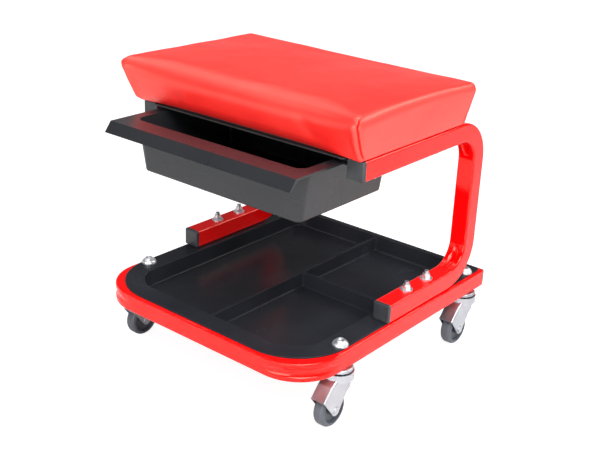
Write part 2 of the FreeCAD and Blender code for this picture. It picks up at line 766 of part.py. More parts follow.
def build_frame_fasteners():
    top = "At.flange_top + Size.tube_side"
    length = ("2 * Size.tube_side + Size.tray_sheet + Size.washer_sheet + Size.nut_height + Size.nut_collar"
              " + Size.bolt_tail")
    bolts = spotted("frame_bolts", FRAME_BOLTS, lambda label, x, y: hex_bolt(
        label, "Size.bolt_radius", "Size.bolt_flats", "Size.bolt_head", length, x, y, "Size.caster_height"))
    washers = spotted("frame_washers", FRAME_BOLTS, lambda label, x, y: flat_washer(
        label, "Size.washer_radius", "Size.bolt_radius + Size.bolt_clearance", "Size.washer_sheet", x, y, top))
    nuts = spotted("frame_nuts", FRAME_BOLTS, lambda label, x, y: collar_nut(
        label, x, y, top + " + Size.washer_sheet"))
    return [bolts, washers, nuts]


# Seat

def number(alias):
    """A size, or a place, as a plain number."""
    return value(("At." if alias in PLACES else "Size.") + alias)


def cushion_wire(side, front, rear, corner, draw, height):
    """A rounded rectangle whose sides are drawn in a little between its corners."""
    turned = corner * math.cos(math.pi / 4)

    def point(x, y):
        return FreeCAD.Vector(x, y, height)

    def corner_arc(x, y, across, along, clockwise):
        ends = [point(x + across * corner, y), point(x, y + along * corner)]
        if clockwise:
            ends.reverse()
        return Part.Arc(ends[0], point(x + across * turned, y + along * turned), ends[1]).toShape()

    right, left = side - corner, corner - side
    low, high = front + corner, rear - corner
    middle = (front + rear) / 2
    return Part.Wire([
        Part.Arc(point(left, front), point(0, front + draw), point(right, front)).toShape(),
        corner_arc(right, low, 1, -1, True),
        Part.Arc(point(side, low), point(side - draw, middle), point(side, high)).toShape(),
        corner_arc(right, high, 1, 1, False),
        Part.Arc(point(right, rear), point(0, rear - draw), point(left, rear)).toShape(),
        corner_arc(left, high, -1, 1, True),
        Part.Arc(point(-side, high), point(draw - side, middle), point(-side, low)).toShape(),
        corner_arc(left, low, -1, -1, False),
    ])


CROWN_SHARES = (0.12, 0.28, 0.46, 0.66)
EDGE_STEPS = 4


def cushion(skin):
    """The seat's outer form, moved inwards by a skin: flared sides, round edges, a domed top."""
    low, height = number("cover_low"), number("seat_height")
    foot, edge, crown = number("foot_round"), number("seat_edge_round"), number("seat_crown")
    levels = []
    for step in range(3):
        angle = math.pi / 2 * step / 2
        levels.append((foot * (1 - math.sin(angle)), low + foot * (1 - math.cos(angle)), 0))
    for step in range(EDGE_STEPS + 1):
        angle = math.pi / 2 * step / EDGE_STEPS
        levels.append((edge * (1 - math.cos(angle)), low + height - edge * (1 - math.sin(angle)), 0))
    reach = number("seat_depth") / 2
    for share in CROWN_SHARES:
        levels.append((edge + reach * share, low + height + crown * (1 - (1 - share) ** 2), share))
    wires = []
    for inset, level, share in levels:
        flare = min((level - low) / height, 1)
        squeeze = (height - 2 * skin) / height if share == 0 else 1
        lifted = low + skin + (level - low) * squeeze if share == 0 else level - skin
        inward = inset + skin
        corner = number("seat_corner_low") * (1 - flare) + number("seat_corner_high") * flare
        corner += number("seat_corner_high") * share
        wires.append(cushion_wire(
            number("seat_side") + number("seat_flare_side") * flare - inward,
            number("seat_front") - number("seat_flare_front") * flare + inward,
            number("seat_rear") + number("seat_flare_rear") * flare - inward,
            corner, number("side_draw") * (1 - share), lifted))
    return Part.makeLoft(wires, True, True)


def block(left, right, front, rear, low, high):
    return Part.makeBox(right - left, rear - front, high - low, FreeCAD.Vector(left, front, low))


def shaped(label, shape):
    """A node whose shape is worked out in this script from the sheets' values."""
    item = doc.addObject("Part::Feature", label)
    item.Label = label
    item.Shape = shape
    return item


def pleats():
    """A folded tuck at each corner of the cover: a thin lip that stands off the front and rear."""
    low, height, foot = number("cover_low"), number("seat_height"), number("foot_round")
    edge, rise, sheet = number("seat_edge_round"), number("pleat_rise"), number("cover_sheet")
    folds = []
    for along in (-1, 1):
        name = "front" if along < 0 else "rear"
        for across in (-1, 1):
            wires = []
            for level in (foot, height - edge):
                flare = level / height
                corner = number("seat_corner_low") * (1 - flare) + number("seat_corner_high") * flare
                outer = number("seat_side") + number("seat_flare_side") * flare - corner
                inner = outer - number("pleat_width")
                face = number("seat_" + name) + along * number("seat_flare_" + name) * flare
                points = [(inner, face - along * sheet / 2), (outer, face - along * sheet / 2),
                          (outer, face + along * rise / 4), (inner, face + along * rise)]
                corners = [FreeCAD.Vector(across * x, y, low + level) for x, y in points]
                wires.append(Part.makePolygon(corners + corners[:1]))
            folds.append(Part.makeLoft(wires, True, True))
    return folds


PANEL_SCREWS = [(x, y) for x in ("-At.panel_screw", "At.panel_screw", "0") for y in (
    "At.seat_front + Size.panel_screw_inset", "At.seat_rear - Size.panel_screw_inset")]


def build_seat():
    sheet, gap = number("cover_sheet"), number("soft_gap")
    low, hem = number("cover_low"), number("hem_width")
    side, front, rear = number("seat_side"), number("seat_front"), number("seat_rear")
    deep = number("board_top")
    drill = number("bolt_radius") + number("bolt_clearance")
    up = FreeCAD.Vector(0, 0, 1)

    cover = cushion(0).fuse(pleats()).cut(cushion(sheet))
    opening = block(hem - side, side - hem, front + hem, rear - hem, low - sheet, low + 2 * sheet)
    holes = [Part.makeCylinder(drill, 4 * sheet, FreeCAD.Vector(value(x), value(y), low - sheet), up)
             for x, y in SEAT_BOLTS + PANEL_SCREWS]
    cover = shaped("seat_cover", cover.cut([opening] + holes))

    below = block(-2 * side, 2 * side, 2 * front, 2 * rear, 0, deep + gap)
    foam = shaped("seat_foam", cushion(sheet + gap).cut(below))

    board = new_body("seat_board")
    outline = rounded_rectangle(sketch(board, "XY", "At.board_low"), "-At.board_side", "At.board_side",
                                "At.board_front", "At.board_rear", ["Size.board_round"] * 4)
    feature(board, "Pad", outline, "Size.board_thickness")
    drilled = sketch(board, "XY", "At.board_top")
    for x, y in SEAT_BOLTS:
        circle(drilled, x, y, "Size.tee_barrel_radius + Size.weld_gap")
    for x, y in PANEL_SCREWS:
        circle(drilled, x, y, "Size.screw_radius + Size.weld_gap")
    feature(board, "Pocket", drilled, "Size.board_thickness")
    sunk = sketch(board, "XY", "At.board_top")
    for x, y in SEAT_BOLTS:
        circle(sunk, x, y, "Size.tee_flange_radius + Size.weld_gap")
    feature(board, "Pocket", sunk, "Size.tee_flange + Size.weld_gap")

    panel = new_body("seat_panel")
    panel_side = "At.frame_inner - Size.runner_play"
    outline = rounded_rectangle(
        sketch(panel, "XY", "At.panel_low"), "-(%s)" % panel_side, panel_side,
        "At.seat_front + Size.panel_inset", "At.seat_rear - Size.panel_inset", ["Size.panel_inset"] * 4)
    feature(panel, "Pad", outline, "Size.panel_sheet")
    drilled = sketch(panel, "XY", "At.panel_top")
    for x, y in PANEL_SCREWS:
        circle(drilled, x, y, "Size.screw_radius + Size.weld_gap")
    feature(panel, "Pocket", drilled, "Size.panel_sheet")

    screws = spotted("panel_screws", PANEL_SCREWS, lambda label, x, y: pan_screw(
        label, (1, 0, 0), 180, x, y, "At.panel_low"))
    bolt_length = "At.board_top - Size.tee_flange - (At.arm_top - Size.tube_side)"
    bolts = spotted("seat_bolts", SEAT_BOLTS, lambda label, x, y: hex_bolt(
        label, "Size.seat_bolt_radius", "Size.bolt_flats", "Size.bolt_head", bolt_length, x, y,
        "At.arm_top - Size.tube_side"))
    tees = spotted("seat_tee_nuts", SEAT_BOLTS, build_tee_nut)
    return [cover, foam, board, panel, screws, bolts, tees]


def build_tee_nut(label, x, y):
    flange = cylinder(label + "_flange", "Size.tee_flange_radius", "Size.tee_flange", x, y,
                      "At.board_top - Size.tee_flange")
    barrel_low = "At.board_low + Size.tee_flange"
    barrel = cylinder(label + "_barrel", "Size.tee_barrel_radius",
                      "Size.board_thickness - 2 * Size.tee_flange", x, y, barrel_low)
    whole = fuse(label + "_whole", [flange, barrel])
    bore = cylinder(label + "_bore", "Size.seat_bolt_radius + Size.axle_play", "Size.board_thickness",
                    x, y, "At.board_low")
    return cut(label, whole, [bore])


# Drawer

def build_drawer():
    drawer = new_body("drawer")
    rim = rounded_rectangle(
        sketch(drawer, "XY", "At.rim_low"), "-At.drawer_side", "At.drawer_side", "At.crease", "At.drawer_rear",
        ["Size.lip_corner", "Size.lip_corner", "Size.rim_round", "Size.rim_round"])
    feature(drawer, "Pad", rim, "Size.drawer_sheet")
    taper = "-atan(Size.drawer_draft / Size.drawer_depth)"
    outside = "At.mouth_side + Size.drawer_sheet"
    tub = rounded_rectangle(
        sketch(drawer, "XY", "At.rim_top"), "-(%s)" % outside, outside, "At.mouth_front - Size.drawer_sheet",
        "At.mouth_rear + Size.drawer_sheet", ["Size.drawer_round + Size.drawer_sheet"] * 4)
    feature(drawer, "Pad", tub, "Size.drawer_depth", backwards=True, taper=taper)
    mouth = rounded_rectangle(sketch(drawer, "XY", "At.rim_top"), "-At.mouth_side", "At.mouth_side",
                              "At.mouth_front", "At.mouth_rear", ["Size.drawer_round"] * 4)
    feature(drawer, "Pocket", mouth, "Size.drawer_depth - Size.drawer_sheet", taper=taper)
    doc.recompute()
    floor, base = value("At.drawer_floor + Size.drawer_sheet"), value("At.drawer_floor")
    round_edges(drawer, "Size.floor_round", lambda edge: at_height(edge, floor) or at_height(edge, base))
    lip = sketch(drawer, "YZ")
    polygon(lip, [
        ("At.crease + Size.drawer_sheet", "At.rim_top"),
        ("At.crease", "At.rim_top"),
        ("At.crease - Size.lip_run", "At.rim_top - Size.lip_fall"),
        ("At.crease - Size.lip_run + Size.drawer_sheet", "At.rim_top - Size.lip_fall"),
        ("At.crease + Size.drawer_sheet", "At.rim_low"),
    ])
    feature(drawer, "Pad", lip, "2 * At.drawer_side", both_ways=True)
    return drawer


def build_runners():
    runners = []
    for side, sign in SIDES.items():
        runner = new_body(side + "_runner")

        def across(text):
            return "%s(%s)" % (sign, text)

        section = sketch(runner, "XZ", "-At.runner_rear")
        inner = "At.web_inner - Size.runner_reach"
        polygon(section, [
            (across("At.web_outer"), "At.web_low"),
            (across("At.web_outer"), "At.roof_top"),
            (across(inner), "At.roof_top"),
            (across(inner), "At.roof_low"),
            (across("At.web_inner"), "At.roof_low"),
            (across("At.web_inner"), "At.shelf_top"),
            (across(inner), "At.shelf_top"),
            (across(inner), "At.shelf_top - Size.runner_lip"),
            (across("At.web_inner"), "At.shelf_top - Size.runner_lip"),
            (across("At.web_inner"), "At.web_low"),
        ])
        feature(runner, "Pad", section, "Size.runner_length")
        stop = sketch(runner, "XZ", "-At.runner_rear")
        polygon(stop, [
            (across("At.web_inner"), "At.roof_low"),
            (across(inner), "At.roof_low"),
            (across(inner), "At.shelf_top"),
            (across("At.web_inner"), "At.shelf_top"),
        ])
        feature(runner, "Pad", stop, "Size.runner_stop")
        drilled = sketch(runner, "YZ", across("At.web_outer"))
        for y in RUNNER_SCREWS:
            circle(drilled, y, RUNNER_SCREW_HEIGHT, "Size.screw_radius + Size.weld_gap")
        feature(runner, "Pocket", drilled, "2 * Size.runner_web", both_ways=True)
        runners.append(runner)
    spots = [(side, y) for side in SIDES for y in RUNNER_SCREWS]
    screws = spotted("runner_screws", spots, lambda label, side, y: pan_screw(
        label, (0, 1, 0), 90 if side == "left" else -90, SIDES[side] + "At.web_inner", y, RUNNER_SCREW_HEIGHT))
    return runners + [screws]


# Casters

def revolved(label, points, x, y, axis="V_Axis"):
    """A turned piece: an outline of (radius, height) points spun about the upright axis."""
    body = new_body(label)
    profile = polygon(sketch(body, "XZ"), points)
    spin(body, profile, axis)
    return place(body, x, y)


def build_fork(label, x, y):
    """A pressed fork: a ball cup on top, two cheeks with bosses and a sloping hood in front."""
    fork = new_body(label)
    trail, hub = "Size.trail", "Size.wheel_radius"
    top = "At.crown_plate_low + Size.fork_sheet / 2"
    polygon_points = [
        ("Size.fork_back", top),
        ("-Size.fork_back", top),
        ("-Size.fork_hood_reach", "Size.fork_hood_height"),
        ("-Size.fork_nose_reach", "Size.fork_nose_height"),
        ("-(%s + Size.fork_boss * sin(At.fork_front_angle))" % trail,
         "%s - Size.fork_boss * cos(At.fork_front_angle)" % hub),
        ("Size.fork_boss * sin(At.fork_back_angle) - %s" % trail,
         "%s - Size.fork_boss * cos(At.fork_back_angle)" % hub),
        ("Size.fork_waist", "Size.fork_waist_height"),
        ("Size.fork_heel", "Size.fork_heel_height"),
        ("Size.fork_back", "At.crown_low"),
    ]
    feature(fork, "Pad", polygon(sketch(fork, "YZ"), polygon_points), "2 * At.fork_side", both_ways=True)
    side, nose, back = value("At.fork_side"), value("Size.fork_nose_height"), value("Size.fork_back")

    def along_hood(edge):
        points = edge_points(edge)
        return all(abs(abs(point.x) - side) < NEAR and point.z > nose - NEAR and point.y < NEAR - back
                   for point in points)

    round_edges(fork, "Size.fork_round", along_hood)
    boss = circle(sketch(fork, "YZ"), "-" + trail, hub, "Size.fork_boss")
    feature(fork, "Pad", boss, "2 * At.fork_side", both_ways=True)
    inner_nose = "-Size.fork_nose_reach + Size.fork_sheet * At.hood_lean - Size.wheel_radius * At.hood_run"
    hollow = [
        ("2 * Size.fork_back", "At.crown_plate_low"),
        ("-Size.fork_back", "At.crown_plate_low"),
        ("-Size.fork_hood_reach + Size.fork_sheet * At.hood_lean",
         "Size.fork_hood_height - Size.fork_sheet * At.hood_run"),
        (inner_nose, "Size.fork_nose_height - Size.fork_sheet * At.hood_run - Size.wheel_radius * At.hood_lean"),
        (inner_nose, "0"),
        ("2 * Size.fork_back", "0"),
    ]
    feature(fork, "Pocket", polygon(sketch(fork, "YZ"), hollow), "2 * At.fork_inside", both_ways=True)
    inner, bore = "Size.crown_radius - Size.fork_sheet", "Size.stem_radius + Size.axle_play"
    cup = polygon(sketch(fork, "XZ"), [
        ("Size.crown_radius", "At.crown_low"),
        ("Size.crown_radius", "At.crown_top"),
        (inner, "At.crown_top"),
        (inner, "At.crown_plate_top"),
        (bore, "At.crown_plate_top"),
        (bore, "At.crown_plate_low"),
        (inner, "At.crown_plate_low"),
        (inner, "At.crown_low"),
    ])
    spin(fork, cup, "V_Axis")
    drilled = circle(sketch(fork, "YZ"), "-" + trail, hub, "Size.axle_radius + Size.axle_play")
    feature(fork, "Pocket", drilled, "4 * At.fork_side", both_ways=True)
    drilled = circle(sketch(fork, "XY", "At.crown_plate_top"), "0", "0", bore)
    feature(fork, "Pocket", drilled, "2 * Size.fork_sheet")
    return place(fork, x, y)


def build_wheel(label, x, y):
    """A hard tyre with round shoulders, dished sides and a hub, centred on its axle."""
    wheel = new_body(label)
    half, hub_half = "Size.wheel_width / 2", "(At.fork_inside - Size.hub_gap)"
    web, rim = "(Size.wheel_width / 2 - Size.wheel_recess)", "Size.wheel_radius - Size.wheel_rim"
    bore = "Size.axle_radius + Size.axle_play"
    half_outline = [
        (hub_half, bore),
        (hub_half, "Size.hub_radius"),
        (web, "Size.hub_radius"),
        (web, rim),
        (half, rim),
        (half, "Size.wheel_radius"),
    ]
    mirrored = [("-" + across, up) for across, up in reversed(half_outline)]
    spin(wheel, polygon(sketch(wheel, "XY"), half_outline + mirrored), "H_Axis")
    doc.recompute()
    tread, side = value("Size.wheel_radius"), value("Size.wheel_width / 2")

    def on_shoulder(edge):
        return all(abs(abs(point.x) - side) < NEAR and abs(math.hypot(point.y, point.z) - tread) < NEAR
                   for point in edge_points(edge))

    round_edges(wheel, "Size.wheel_shoulder", on_shoulder)
    return place(wheel, x, y + " - Size.trail", "Size.wheel_radius")


def build_axle(label, x, y):
    axle = new_body(label)
    head = "(At.fork_side + Size.axle_head)"
    outline = [
        (head, "0"),
        (head, "Size.axle_head_radius"),
        ("At.fork_side", "Size.axle_head_radius"),
        ("At.fork_side", "Size.axle_radius"),
    ]
    mirrored = [("-" + across, up) for across, up in reversed(outline)]
    spin(axle, polygon(sketch(axle, "XY"), outline + mirrored), "H_Axis")
    return place(axle, x, y + " - Size.trail", "Size.wheel_radius")


def build_balls(label, x, y):
    balls = []
    for step in range(BALL_COUNT):
        ball = primitive("Sphere", "%s_%d" % (label, step + 1), {"Radius": "Size.ball_radius"})
        angle = "%d * 360 / %d" % (step, BALL_COUNT)
        balls.append(place(ball, "%s + Size.ball_circle * cos(%s)" % (x, angle),
                           "%s + Size.ball_circle * sin(%s)" % (y, angle),
                           "At.race_low - Size.ball_gap - Size.ball_radius"))
    return group(label, balls)


BALL_COUNT = 12

DOME_SHARES = (
    # a domed nut's outline from its foot inwards: across its radius, and up its height
    (1.0, 0.0),
    (1.0, 0.16),
    (0.93, 0.40),
    (0.80, 0.62),
    (0.64, 0.80),
    (0.58, 0.86),
    (0.54, 1.0),
    (0.46, 1.0),
)


def build_caster(name, x, y):
    washer_top = "At.flange_top + Size.stem_washer_sheet"
    rivet_top = "At.crown_plate_low - Size.axle_play"
    stem_top = washer_top + " + Size.stem_nut_height - Size.stem_sunk"
    stem = revolved(name + "_stem", [
        ("0", rivet_top + " - Size.rivet_thickness"),
        ("Size.rivet_radius", rivet_top + " - Size.rivet_thickness"),
        ("Size.rivet_radius", rivet_top),
        ("Size.stem_radius", rivet_top),
        ("Size.stem_radius", stem_top),
        ("0", stem_top),
    ], x, y)
    bore = "Size.stem_radius + Size.axle_play"
    race = revolved(name + "_race", [
        (bore, "At.race_low"),
        ("Size.race_radius", "At.race_low"),
        ("Size.race_radius", "Size.caster_height"),
        (bore, "Size.caster_height"),
    ], x, y)
    doc.recompute()
    rim = value("Size.race_radius")
    round_edges(race, "Size.race_round", lambda edge: all(
        abs(math.hypot(point.x, point.y) - rim) < NEAR for point in edge_points(edge)) and not edge_rises(edge))
    hole = "Size.stem_radius + Size.bolt_clearance"
    washer = revolved(name + "_washer", [
        (hole, "At.flange_top"),
        ("Size.stem_washer_radius", "At.flange_top"),
        ("Size.stem_washer_radius", washer_top),
        (hole, washer_top),
    ], x, y)
    dome = [("%s * Size.stem_nut_radius" % across, "%s + %s * Size.stem_nut_height" % (washer_top, up))
            for across, up in DOME_SHARES]
    nut = revolved(name + "_nut", dome + [(bore, dome[-1][1]), (bore, washer_top)], x, y)
    return [stem, race, build_balls(name + "_balls", x, y), build_fork(name + "_fork", x, y),
            build_axle(name + "_axle", x, y), build_wheel(name + "_wheel", x, y), washer, nut]


# Every node, checked and written

nodes = build_base() + build_uprights() + build_plugs() + [build_tray()] + build_frame_fasteners()
nodes += build_seat() + [build_drawer()] + build_runners()
for end_name, end_place in ENDS.items():
    for side_name, side_sign in SIDES.items():
        nodes += build_caster("%s_%s_caster" % (end_name, side_name), side_sign + "At.frame_middle", end_place)
doc.recompute()

for item in doc.Objects:
    if "Invalid" in item.State or "Error" in item.State:
        raise RuntimeError("%s does not compute: %s" % (item.Label, item.getStatusString()))

os.makedirs("parts", exist_ok=True)
for node in nodes:
    if node.Shape.isNull() or not node.Shape.isValid():
        raise RuntimeError("%s has no valid shape" % node.Label)
    node.Shape.exportStep("parts/%s.step" % node.Label)
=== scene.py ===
import json
import math

import bpy
import numpy as np
from mathutils import Matrix, Vector, noise
from mathutils.kdtree import KDTree


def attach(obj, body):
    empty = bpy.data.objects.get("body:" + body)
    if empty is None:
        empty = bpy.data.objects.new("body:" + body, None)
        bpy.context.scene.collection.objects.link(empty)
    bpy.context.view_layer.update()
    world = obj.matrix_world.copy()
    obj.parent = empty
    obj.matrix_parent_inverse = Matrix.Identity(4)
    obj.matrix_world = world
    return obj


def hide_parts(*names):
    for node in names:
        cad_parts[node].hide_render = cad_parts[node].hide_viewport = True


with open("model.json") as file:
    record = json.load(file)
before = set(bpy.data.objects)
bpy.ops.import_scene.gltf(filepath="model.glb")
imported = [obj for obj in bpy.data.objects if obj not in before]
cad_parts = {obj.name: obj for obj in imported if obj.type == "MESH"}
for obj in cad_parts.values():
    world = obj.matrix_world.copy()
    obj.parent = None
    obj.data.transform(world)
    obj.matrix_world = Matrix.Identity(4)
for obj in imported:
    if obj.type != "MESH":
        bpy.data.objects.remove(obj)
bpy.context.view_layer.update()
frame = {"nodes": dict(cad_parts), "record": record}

# Looks of a rolling creeper seat: red vinyl cushion, glossy red tube, moulded black plastic,
# bright zinc hardware. Metres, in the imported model's frame: +Z up, -Y the drawer's side.

MM = 0.001
nodes = frame["nodes"]


# ---- camera and light

CAMERA_TARGET = Vector((-12.0, 20.4, 165.4)) * MM
CAMERA_AZIMUTH = math.radians(39.08)
CAMERA_ELEVATION = math.radians(22.32)
CAMERA_ROLL = math.radians(2.22)
CAMERA_DISTANCE = 1357.2 * MM
CAMERA_LENS = 58.99
CAMERA_SENSOR = 36.0
CAMERA_NEAREST = 50 * MM


def aim_camera():
    flat = math.cos(CAMERA_ELEVATION)
    back = Vector((math.sin(CAMERA_AZIMUTH) * flat, -math.cos(CAMERA_AZIMUTH) * flat,
                   math.sin(CAMERA_ELEVATION)))
    right = Vector((math.cos(CAMERA_AZIMUTH), math.sin(CAMERA_AZIMUTH), 0))
    up = back.cross(right)
    rolled_right = right * math.cos(CAMERA_ROLL) + up * math.sin(CAMERA_ROLL)
    rolled_up = up * math.cos(CAMERA_ROLL) - right * math.sin(CAMERA_ROLL)
    data = bpy.data.cameras.new("photo_camera")
    data.lens = CAMERA_LENS
    data.sensor_width = CAMERA_SENSOR
    data.sensor_fit = "HORIZONTAL"
    data.clip_start = CAMERA_NEAREST
    camera = bpy.data.objects.new("photo_camera", data)
    turn = Matrix((rolled_right, rolled_up, back)).transposed().to_4x4()
    camera.matrix_world = Matrix.Translation(CAMERA_TARGET + back * CAMERA_DISTANCE) @ turn
    bpy.context.scene.collection.objects.link(camera)
    bpy.context.scene.camera = camera


# each lamp's name, place, the point it faces, width, height and watts
SOFT_BOXES = (
    ("right_soft_box", (1.4, -0.95, 1.4), (0, 0, 0.2), 1.6, 0.35, 16),
    ("high_right_soft_box", (1.15, -0.75, 2.0), (0, 0, 0.2), 1.2, 1.2, 30),
    ("rear_right_soft_box", (1.1, 1.4, 1.3), (0, 0, 0.35), 0.7, 0.5, 11),
    ("top_soft_box", (0.65, -0.35, 1.7), (0, 0, 0.2), 1.6, 1.6, 18),
    ("left_soft_box", (-1.0, 0.05, 1.8), (0, 0, 0.35), 0.7, 0.7, 4.2),
    ("front_soft_box", (0.3, -1.9, 0.45), (0, 0, 0.25), 1.4, 0.8, 22),
)


def soft_box(name, place, target, width, height, power):
    data = bpy.data.lights.new(name, "AREA")
    data.shape = "RECTANGLE"
    data.size, data.size_y = width, height
    data.energy = power
    light = bpy.data.objects.new(name, data)
    light.location = place
    facing = (Vector(target) - Vector(place)).to_track_quat("-Z", "Y")
    light.rotation_euler = facing.to_euler()
    bpy.context.scene.collection.objects.link(light)


# what the room gives as light, and how bright it is in a mirror: just above the floor, in the dim
# gap over that, and overhead
WORLD_LIGHT = 0.28
HORIZON_GLOW, GAP_GLOW, CEILING_GLOW = 1.0, 0.12, 0.8
# sines of the elevations between which one of these bands fades into the next
HORIZON_TOP, GAP_START, GAP_END, CEILING_START = 0.05, 0.27, 0.60, 0.82


def wire(tree, kind, operation=None, **inputs):
    """A node whose inputs are values or other nodes' outputs."""
    node = tree.nodes.new(kind)
    if operation:
        node.operation = operation
    for label, content in inputs.items():
        key = int(label[1:]) if label[1:].isdigit() else label.replace("_", " ")
        if isinstance(content, bpy.types.NodeSocket):
            tree.links.new(content, node.inputs[key])
        else:
            node.inputs[key].default_value = content
    return node


def mirrored_rays(tree):
    """The Light Path node, and a socket that is 1 for what a mirror or clear plastic shows."""
    rays = tree.nodes.new("ShaderNodeLightPath")
    mirrored = wire(tree, "ShaderNodeMath", "MAXIMUM", _0=rays.outputs["Is Glossy Ray"],
                    _1=rays.outputs["Is Transmission Ray"])
    return rays, mirrored.outputs[0]


def light_studio():
    """Mirrored surroundings, bright at the floor and overhead and dim between, and soft boxes."""
    world = bpy.data.worlds.new("studio")
    bpy.context.scene.world = world
    world.use_nodes = True
    tree = world.node_tree
    background = tree.nodes["Background"]
    background.inputs["Color"].default_value = (1, 1, 1, 1)
    rays, mirrored = mirrored_rays(tree)
    seen = wire(tree, "ShaderNodeMath", "MAXIMUM", _0=rays.outputs["Is Camera Ray"], _1=mirrored)
    direction = tree.nodes.new("ShaderNodeTexCoord")
    height = wire(tree, "ShaderNodeSeparateXYZ", _0=direction.outputs["Generated"])
    horizon = wire(tree, "ShaderNodeMapRange", Value=height.outputs["Z"], From_Min=HORIZON_TOP,
                   From_Max=GAP_START, To_Min=HORIZON_GLOW, To_Max=GAP_GLOW)
    ceiling = wire(tree, "ShaderNodeMapRange", Value=height.outputs["Z"], From_Min=GAP_END,
                   From_Max=CEILING_START, To_Min=GAP_GLOW, To_Max=CEILING_GLOW)
    for band in (horizon, ceiling):
        band.interpolation_type = "SMOOTHSTEP"
    glow = wire(tree, "ShaderNodeMath", "MAXIMUM", _0=horizon.outputs["Result"],
                _1=ceiling.outputs["Result"])
    strength = wire(tree, "ShaderNodeMix", Factor=seen.outputs[0], A=WORLD_LIGHT,
                    B=glow.outputs[0])
    tree.links.new(strength.outputs["Result"], background.inputs["Strength"])
    for box in SOFT_BOXES:
        soft_box(*box)


FLOOR_HALF = 6.0
# the floor's own grey and its glow, for the camera and for what mirrors it
FLOOR_SHADE, FLOOR_GLOW = 0.36, 0.90
PAPER_SHADE, MIRRORED_GLOW = 0.8, 0.08


def lay_floor():
    mesh = bpy.data.meshes.new("floor")
    corners = [(-FLOOR_HALF, -FLOOR_HALF, 0), (FLOOR_HALF, -FLOOR_HALF, 0),
               (FLOOR_HALF, FLOOR_HALF, 0), (-FLOOR_HALF, FLOOR_HALF, 0)]
    mesh.from_pydata(corners, [], [(0, 1, 2, 3)])
    floor = bpy.data.objects.new("floor", mesh)
    bpy.context.scene.collection.objects.link(floor)
    material = bpy.data.materials.new("white_floor")
    material.use_nodes = True
    tree = material.node_tree
    tree.nodes.clear()
    output = tree.nodes.new("ShaderNodeOutputMaterial")
    rays, mirrored = mirrored_rays(tree)

    def glowing_paper(shade, glow):
        paper = wire(tree, "ShaderNodeBsdfDiffuse", Color=(shade, shade, shade, 1))
        light = wire(tree, "ShaderNodeEmission", Strength=glow)
        return wire(tree, "ShaderNodeAddShader", _0=paper.outputs[0], _1=light.outputs[0])

    plain = wire(tree, "ShaderNodeBsdfDiffuse", Color=(PAPER_SHADE, PAPER_SHADE, PAPER_SHADE, 1))
    dim = wire(tree, "ShaderNodeMixShader", _0=mirrored, _1=plain.outputs[0],
               _2=glowing_paper(PAPER_SHADE, MIRRORED_GLOW).outputs[0])
    bright = wire(tree, "ShaderNodeMixShader", _0=rays.outputs["Is Camera Ray"],
                  _1=dim.outputs[0], _2=glowing_paper(FLOOR_SHADE, FLOOR_GLOW).outputs[0])
    tree.links.new(bright.outputs[0], output.inputs["Surface"])
    mesh.materials.append(material)


# ---- shared effects

def effect_group(name, inputs, outputs):
    group = bpy.data.node_groups.new(name, "ShaderNodeTree")
    for label, start in inputs.items():
        socket = group.interface.new_socket(label, in_out="INPUT",
                                            socket_type="NodeSocketFloat")
        socket.default_value = start
    for label in outputs:
        group.interface.new_socket(label, in_out="OUTPUT", socket_type="NodeSocketFloat")
    return group, group.nodes.new("NodeGroupInput"), group.nodes.new("NodeGroupOutput")


def build_grain():
    """A pebbled grain: Height for a bump, Mask for small changes of colour or gloss."""
    group, start, end = effect_group(
        "grain", {"Cells per metre": 800.0, "Softness": 0.5}, ("Height", "Mask"))
    place = group.nodes.new("ShaderNodeTexCoord").outputs["Object"]
    cells = wire(group, "ShaderNodeTexVoronoi", Vector=place)
    cells.feature = "SMOOTH_F1"
    group.links.new(start.outputs["Cells per metre"], cells.inputs["Scale"])
    group.links.new(start.outputs["Softness"], cells.inputs["Smoothness"])
    cloud = wire(group, "ShaderNodeTexNoise", Vector=place, Detail=4, Scale=22)
    group.links.new(cells.outputs["Distance"], end.inputs["Height"])
    group.links.new(cloud.outputs["Fac"], end.inputs["Mask"])
    return group


def build_clouds():
    """Slow and fast noise over a surface, as handling marks and moulding flow leave."""
    group, start, end = effect_group(
        "clouds", {"Patches per metre": 12.0, "Specks per metre": 900.0}, ("Patches", "Specks"))
    place = group.nodes.new("ShaderNodeTexCoord").outputs["Object"]
    for label, detail in (("Patches", 5), ("Specks", 2)):
        cloud = wire(group, "ShaderNodeTexNoise", Vector=place, Detail=detail,
                     Scale=start.outputs[label + " per metre"])
        group.links.new(cloud.outputs["Fac"], end.inputs[label])
    return group


EFFECTS = {"grain": build_grain(), "clouds": build_clouds()}

# a mask's values at which a material reaches its first and its second colour or gloss
MASK_LOW, MASK_HIGH = 0.3, 0.7


